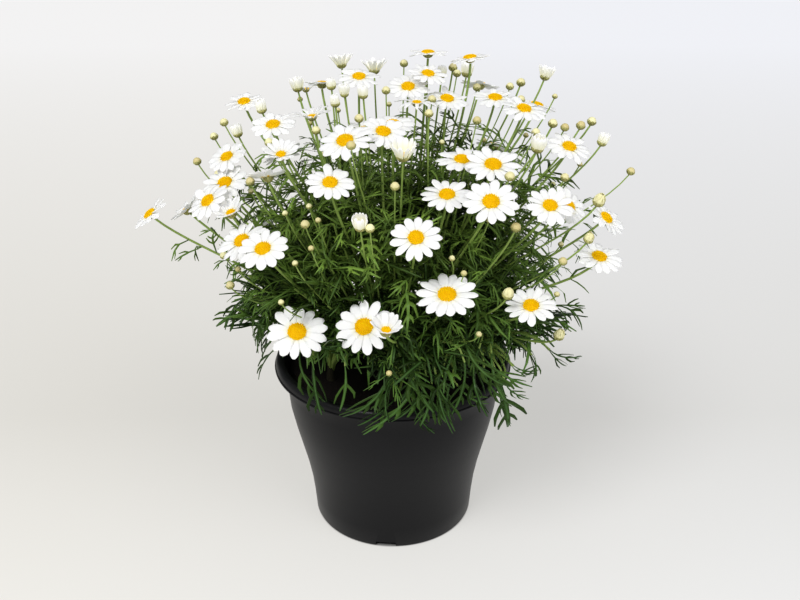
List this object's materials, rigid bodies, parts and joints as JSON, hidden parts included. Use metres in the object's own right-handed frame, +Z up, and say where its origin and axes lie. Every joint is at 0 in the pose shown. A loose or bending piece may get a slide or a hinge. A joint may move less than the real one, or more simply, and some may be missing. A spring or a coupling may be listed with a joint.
{
  "type": "potted marguerite daisy",
  "caption": "Round bushy daisy plant with finely cut dark leaves, white petals round yellow centres on long bare stalks, and buds, growing in a tapered black nursery pot.",
  "frame": {"origin": "middle of the pot's flat base, on the surface that it stands on", "axes": "+Z up along the pot's axis, -Y towards the side that the picture shows, +X to that side's right"},
  "size_m": [0.4049, 0.3349, 0.4145],
  "materials": {
    "pot_plastic": "satin charcoal plastic",
    "soil_mix": "rough dark potting soil",
    "foliage": "matte dark green leaves and stalks",
    "petals": "soft white petals round a golden yellow disc"
  },
  "bodies": {
    "root": {"pot": "pot_plastic", "soil": "soil_mix", "leafy_stem_1": "foliage", "leafy_stem_2": "foliage", "leafy_stem_3": "foliage", "leafy_stem_4": "foliage", "leafy_stem_5": "foliage", "leafy_stem_6": "foliage", "leafy_stem_middle": "foliage", "bloom_01": "petals", "bloom_02": "petals", "bloom_03": "petals", "bloom_04": "petals", "bloom_05": "petals", "bloom_06": "petals", "bloom_07": "petals", "bloom_08": "petals", "bloom_09": "petals", "bloom_10": "petals", "bloom_11": "petals", "bloom_12": "petals", "bloom_13": "petals", "bloom_14": "petals", "bloom_15": "petals", "bloom_16": "petals", "bloom_17": "petals", "bloom_18": "petals", "bloom_19": "petals", "bloom_20": "petals", "bloom_21": "petals", "bloom_22": "petals", "bloom_23": "petals", "bloom_24": "petals", "bloom_25": "petals", "bloom_26": "petals", "bloom_27": "petals", "bloom_28": "petals", "bloom_29": "petals", "bloom_30": "petals", "bloom_31": "petals", "bloom_32": "petals", "bloom_33": "petals", "bloom_34": "petals", "bloom_35": "petals", "bloom_36": "petals", "bloom_37": "petals", "bloom_38": "petals", "bloom_39": "petals", "bloom_40": "petals", "bloom_41": "petals", "bloom_42": "petals", "bloom_43": "petals", "bloom_44": "petals", "bloom_45": "petals", "bloom_46": "petals", "bloom_47": "petals", "bloom_48": "petals", "bloom_49": "petals", "bloom_50": "petals", "bloom_51": "petals"}
  },
  "joints": []
}
